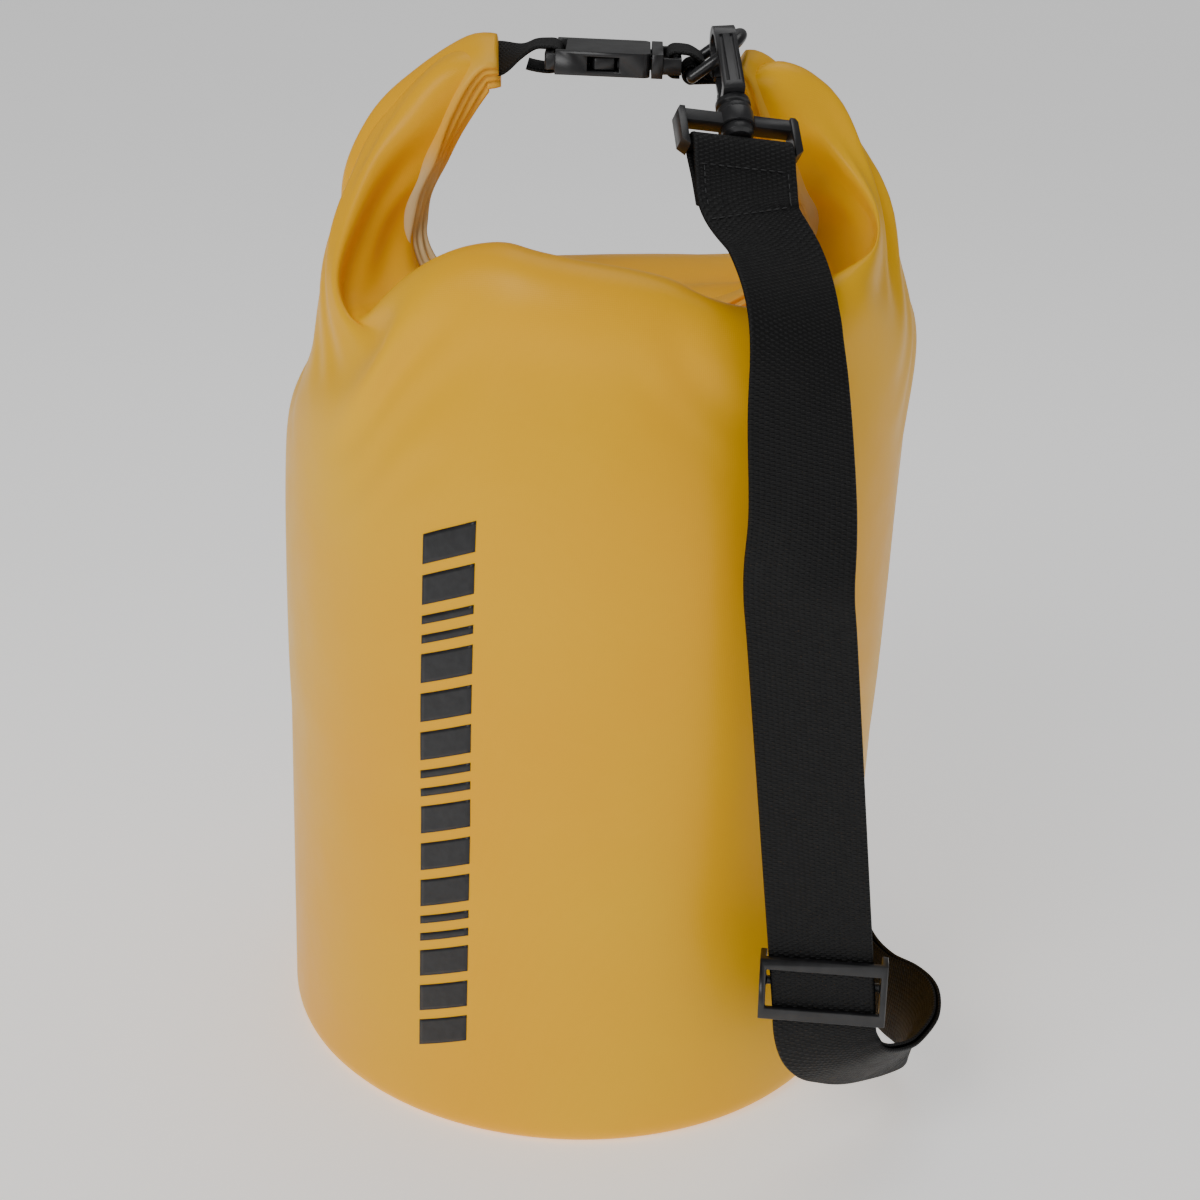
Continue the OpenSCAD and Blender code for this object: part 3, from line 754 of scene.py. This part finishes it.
WRAP_TOP = [TOP_FRAME.station(y, z) for y, z in
            [(2.2, -50), (2.2, -38), (2.6, -26), *WRAP, (-1.2, -26), (-0.4, -40)]]
WRAP_LOW = [LOW_HOOK.station(y, z) for y, z in [*WRAP, (-2.4, -21), (-1.4, -26)]]
NEAR_LOW = [LOW_HOOK.station(1, -28)]
LOOP = [SLIDER.station(y, z) for y, z in
        [(1.8, -9), (1.8, -5), (1.75, 0), (2.2, 3), (3.6, 4.2), (5.1, 3), (5.5, 0), (4.4, -8)]]
LAYER_GAP = 2.3


def lifted(route, distance):
    route = np.array(route, float)
    p, _, _, n = route_frames(route)
    return np.hstack([p + n * distance, route[:, 3:]])


STRAP = [*WRAP_TOP, *OVER, *STRAIGHT, *CURL, *NEAR_LOW, *WRAP_LOW]
RETURN = [*LOOP, *lifted([STRAIGHT[4], *CURL, *NEAR_LOW], -LAYER_GAP).tolist(), LOW_HOOK.station(-2.2, -23.5)]


# ---- stitching ----

STITCH_GAP = 3.3


def add_stitches(name, spots, material, length=2.3, radius=0.28):
    """Short raised threads: each spot is a point, the thread's direction and the surface's direction."""
    points, faces = [], []
    profile = [(-1, 0.15), (-0.8, 0.75), (-0.3, 1.0), (0.3, 1.0), (0.8, 0.75), (1, 0.15)]
    for spot, along, out in spots:
        along, out = unit(along), unit(out)
        side = np.cross(along, out)
        start = len(points)
        for s, r in profile:
            for k in range(6):
                a = math.pi / 3 * k
                points.append(spot + along * s * length / 2 + side * math.cos(a) * radius * r
                              + out * (math.sin(a) * radius * r + 0.08 * (1 - s * s)))
        faces += [tuple(start + v for v in f) for f in tube_faces(len(profile), 6)]
    return make_mesh(name, points, faces, material)


def band_spots(route, width, thickness, at, places):
    """Stitch places on a band: rows along it between two distances, and rows across at each end."""
    tables = route_frames(smooth_route(route, 6))
    run = run_length(tables[0])
    low, high = at
    side = max(places) * width / 2

    def frame_of(distance):
        return [np.array([np.interp(distance, run, table[:, k]) for k in range(3)]) for table in tables]

    spots = []
    for across in places:
        for distance in np.arange(low, high + 0.01, STITCH_GAP):
            q, a, b, c = frame_of(distance)
            spots.append((q + unit(b) * across * width / 2 + unit(c) * thickness * 0.48, a, c))
    for distance in (low - STITCH_GAP / 2, high + STITCH_GAP / 2):
        q, _, b, c = frame_of(distance)
        for across in np.arange(-side, side + 0.1, STITCH_GAP):
            spots.append((q + unit(b) * across + unit(c) * thickness * 0.48, b, c))
    return spots


# ---- moulded hardware ----

def add_moulded_copy(node, material, edge=0.45):
    """A copy of a CAD part with its edges rounded as they come from a mould."""
    original = bpy.data.objects[node]
    body = body_of(original)[0]
    piece = bpy.data.objects.new(node + "_moulded", original.data.copy())
    bpy.context.scene.collection.objects.link(piece)
    mesh = bmesh.new()
    mesh.from_mesh(piece.data)
    bmesh.ops.remove_doubles(mesh, verts=mesh.verts, dist=0.00001)
    bmesh.ops.dissolve_limit(mesh, angle_limit=math.radians(1), verts=mesh.verts, edges=mesh.edges)
    mesh.to_mesh(piece.data)
    mesh.free()
    piece.data.materials.clear()
    piece.data.materials.append(material)
    apply_modifier(piece, "BEVEL", width=edge * MM, segments=3, limit_method="ANGLE",
                   angle_limit=math.radians(32), use_clamp_overlap=True, harden_normals=True)
    piece.data.polygons.foreach_set("use_smooth", [True] * len(piece.data.polygons))
    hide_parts(node)
    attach(piece, body)
    return piece


# ---- the rolled mouth ----

def lining_and_highlight_share(share):
    """How far the pale colour shows: a little everywhere for the paler inner side, and a painted highlight
    most where the horns leave the middle of the roll.
    """
    return 0.12 + 0.75 * ease(share, 0.3, 0.42) * (1 - ease(share, 0.66, 0.8))


def add_roll(roll, material):
    """The rolled hem: an oval with the edges of its folded layers showing along the inner side."""
    shares = np.linspace(-1, 1, 221)
    centre, width, normal = roll.at(shares)
    outline = []
    for k in range(26):                                        # the smooth outer turn
        a = math.radians(-100 + 200 * k / 25)
        outline.append((0.5 * math.copysign(abs(math.cos(a)) ** 0.7, math.cos(a)),
                        0.5 * math.copysign(abs(math.sin(a)) ** 0.85, math.sin(a)), 0))
    layers = 4
    for k in range(layers * 6):                                # the stacked layers
        s = k / (layers * 6 - 1)
        bulge = abs(math.sin(math.pi * s * layers)) ** 0.6
        outline.append((-0.43 - 0.07 * bulge, 0.44 * (1 - 2 * s), 1))
    outline = np.array(outline)
    points, cloth = [], []
    run = run_length(centre)
    for i, share in enumerate(shares):
        wide = roll_width(share) * (1 + 0.015 * math.sin(run[i] / 9))
        thick = ROLL_T * (1 - 0.12 * ease(abs(share), 0.85, 1)) + 0.5 * math.sin(run[i] / 13 + 1)
        end = 1 - 0.06 * ease(abs(share), 0.985, 1)
        for x, y, pale in outline:
            wave = 0.25 * math.sin(run[i] / 6 + y * 9) * pale
            points.append(centre[i] + width[i] * (x * wide * end + wave) + normal[i] * y * thick * end)
            # the pale colour: the inner side at the layer edges, raised to a painted highlight where the
            # horns leave the middle
            cloth.append((x * wide, run[i], pale * lining_and_highlight_share(abs(share))))
    piece = make_mesh("rolled_hem", points, tube_faces(len(shares), len(outline)), material, cloth)
    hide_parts("rolled_mouth")
    return piece


def lined_and_highlit_tarpaulin(name, low, high, lining_and_highlight_colour):
    """The bag's fabric where its paler inner side shows, and where the same pale colour is painted on as a
    highlight.
    """
    material = tarpaulin(name, low, high)
    tree = material.node_tree
    shader = tree.nodes["Principled BSDF"]
    outer = shader.inputs["Base Color"].links[0].from_socket
    cloth = tree.nodes.new("ShaderNodeAttribute")
    cloth.attribute_name = "cloth"
    parts = tree.nodes.new("ShaderNodeSeparateXYZ")
    tree.links.new(cloth.outputs["Vector"], parts.inputs["Vector"])
    # mixes in the pale inner side and its painted highlight, by the cloth attribute's third value
    mix = tree.nodes.new("ShaderNodeMix")
    mix.data_type = "RGBA"
    tree.links.new(parts.outputs["Z"], mix.inputs["Factor"])
    tree.links.new(outer, mix.inputs[6])
    mix.inputs[7].default_value = (*lining_and_highlight_colour, 1)
    tree.links.new(mix.outputs[2], shader.inputs["Base Color"])
    return material


def add_base_panel(material):
    """The round base: slightly dished, with its welded flange turned up inside the wall."""
    profile = [(0, 2.6), (40, 2.3), (80, 1.6), (106, 1.0), (114, 0.9), (119, 1.1), (121.6, 2.0),
               (123.1, 4.4), (123.5, 8), (123.5, 12), (122.7, 12.2), (122.4, 8), (122.1, 5),
               (120.9, 3.2), (118.6, 2.1), (114, 1.8), (106, 1.9), (80, 2.5), (40, 3.2), (0.0, 3.5)]
    turns = 96
    points = [(r * math.cos(2 * math.pi * k / turns), r * math.sin(2 * math.pi * k / turns), z)
              for r, z in profile[1:-1] for k in range(turns)]
    rows = len(profile) - 2
    faces = [(b, a, d, c) for a, b, c, d in tube_faces(rows, turns, caps=False)]
    points += [(0, 0, profile[0][1]), (0, 0, profile[-1][1])]
    for k in range(turns):
        faces.append((len(points) - 2, (k + 1) % turns, k))
        faces.append((len(points) - 1, (rows - 1) * turns + k, (rows - 1) * turns + (k + 1) % turns))
    cloth = [(x, y, 0) for x, y, z in points]
    piece = make_mesh("base_disc", points, faces, material, cloth)
    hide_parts("base_panel")
    return piece


def bar_grid(low, height, slope=9.0, turns=(-28.4, -18.6)):
    """One slanted bar of the printed pattern."""
    grid = np.zeros((max(3, int(height / 1.5)), 12, 2))
    for i, v in enumerate(np.linspace(0, 1, grid.shape[0])):
        for j, s in enumerate(np.linspace(0, 1, 12)):
            grid[i, j] = (turns[0] + (turns[1] - turns[0]) * s, low + height * v + slope * s)
    return grid


def bar_pattern():
    grids, level = [], 36.0
    for height in [12, 12, 12, 3.5, 3.5] * 3 + [12, 12]:
        grids.append(bar_grid(level, height))
        level += height + 4.5
    return grids


def finish_node(node, material):
    mesh = bpy.data.objects[node].data
    mesh.materials.clear()
    mesh.materials.append(material)
    mesh.polygons.foreach_set("use_smooth", [True] * len(mesh.polygons))


def on_wall(angle, radius, level=60.0):
    a = math.radians(angle)
    return [radius * math.cos(a), radius * math.sin(a), level, 0, 0, 1]


# ---- build ----

roll = Roll()
add_camera()
add_lights()

yellow = tarpaulin("yellow_tarpaulin", *YELLOW)
# the roll's fabric, with a painted highlight on its layered edges
hem = lined_and_highlit_tarpaulin("yellow_tarpaulin_hem", *YELLOW, LINING_AND_HIGHLIGHT)
strap_weave = webbing("strap_webbing")
narrow_weave = webbing("closure_webbing", 1.5, 1.4)
plastic = moulding("black_moulding")
ring_plastic = moulding("ring_moulding", (0.010, 0.010, 0.011), (0.22, 0.36))
stiffener = moulding("hem_stiffener_plastic", (0.6, 0.6, 0.58), (0.35, 0.5))
thread = moulding("black_thread", (0.02, 0.02, 0.021), (0.5, 0.7))
ink = printed_ink("black_print")

fabric = Fabric(*relaxed_cloth(roll))
bag = add_bag_fabric(fabric, yellow)
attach(bag, "root")

rolled = add_roll(roll, hem)
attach(rolled, "root")

base = add_base_panel(yellow)
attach(base, "root")

seam = add_laid_piece("seam_tape", fabric, [patch_grid(-135.5, -126.5, 4, 262, 1, 8, 90)], yellow, 0.55)
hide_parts("side_seam_tape")
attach(seam, "root")

patch = add_laid_piece("lower_anchor_patch", fabric, [patch_grid(-202, -172, 36, 84, 9, 30, 22)],
                       yellow, 0.95)
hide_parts("lower_patch")
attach(patch, "root")

print_bars = add_laid_piece("printed_bars", fabric, bar_pattern(), ink, 0.22, -0.3)
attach(print_bars, "root")

# closure webbing
left_web = add_band("webbing_left", LEFT_WEB, WEB_W, WEB_T, narrow_weave, steps=8)
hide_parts("closure_webbing_left")
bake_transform(left_web, "root", "socket", start=(-0.041, 0, 0.4135), end=(-0.023, 0, 0.4155))
right_web = add_band("webbing_right", RIGHT_WEB, WEB_W, WEB_T, narrow_weave, steps=8)
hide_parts("closure_webbing_right")
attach(right_web, "root")

# webbing that holds the two D-rings
UPPER_KEEPER = [[46, 1, 409.3, 0, 1, 0], [43, 0.8, 409.3, 0, 1, 0], [39.5, 0.6, 409.3, 0, 1, 0],
                *[[TOP_BAR[0] + BAR_WRAP * math.cos(a), 0, TOP_BAR[2] + BAR_WRAP * math.sin(a), 0, 1, 0]
                  for a in np.radians(np.arange(-70, -351, -35))],
                [37.6, 0.3, 410.8, 0, 1, 0], [40, 0.5, 411, 0, 1, 0]]
keeper = add_band("keeper_webbing", UPPER_KEEPER, KEEPER_W, WEB_T, narrow_weave)
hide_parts("d_ring_keeper")
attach(keeper, "root")
LOWER_LOOP = [on_wall(107, 126.8), on_wall(104.5, 126.8), on_wall(100, 126.8), on_wall(96.5, 127),
              *[[LOW_BAR[0] + BAR_WRAP * math.cos(a), LOW_BAR[1] + BAR_WRAP * math.sin(a), LOW_BAR[2],
                 0, 0, 1]
                for a in np.radians(np.arange(-95, 96, 38))],
              on_wall(97.5, 130), on_wall(100, 128.4), on_wall(103.5, 128.3), on_wall(107, 128.3)]
lower_loop = add_band("lower_loop_webbing", LOWER_LOOP, LOOP_W, WEB_T, narrow_weave)
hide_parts("lower_web_loop")
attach(lower_loop, "root")

# shoulder strap and the layer that returns from its slider
strap = add_band("shoulder_webbing", STRAP, STRAP_W, STRAP_T, strap_weave, steps=10)
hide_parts("shoulder_strap")
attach(strap, "root")
returned = add_band("return_webbing", RETURN, RETURN_W, STRAP_T, strap_weave, steps=10)
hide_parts("strap_return")
blend_start = SLIDER_AT + 22 * STRAP_DIR
# tilted off the strap's own line, so that the layer behind the bag stays put
blend_end = blend_start + [0, -3.6, 12]
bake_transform(returned, "root", "slider", start=tuple(blend_start * MM), end=tuple(blend_end * MM))

spots = (band_spots(STRAP, STRAP_W, STRAP_T, (50, 66), (-0.82, 0.82))
         + band_spots(RIGHT_WEB, WEB_W, WEB_T, (6, 12), (-0.75, 0.75))
         + band_spots(LOWER_LOOP, LOOP_W, WEB_T, (25, 34), (-0.75, 0.75)))
stitching = add_stitches("box_stitching", spots, thread)
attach(stitching, "root")

for node in ("buckle_socket", "buckle_plug", "top_hook_body", "top_hook_frame", "strap_slider",
             "lower_hook_body", "lower_hook_frame"):
    add_moulded_copy(node, plastic)
for node in ("latch_arm_front", "latch_arm_rear", "top_hook_gate", "lower_hook_gate"):
    add_moulded_copy(node, plastic, edge=0.3)
for node in ("top_d_ring", "lower_d_ring"):
    finish_node(node, ring_plastic)
for node in ("hem_stiffener_outer", "hem_stiffener_inner"):
    finish_node(node, stiffener)

add_floor()
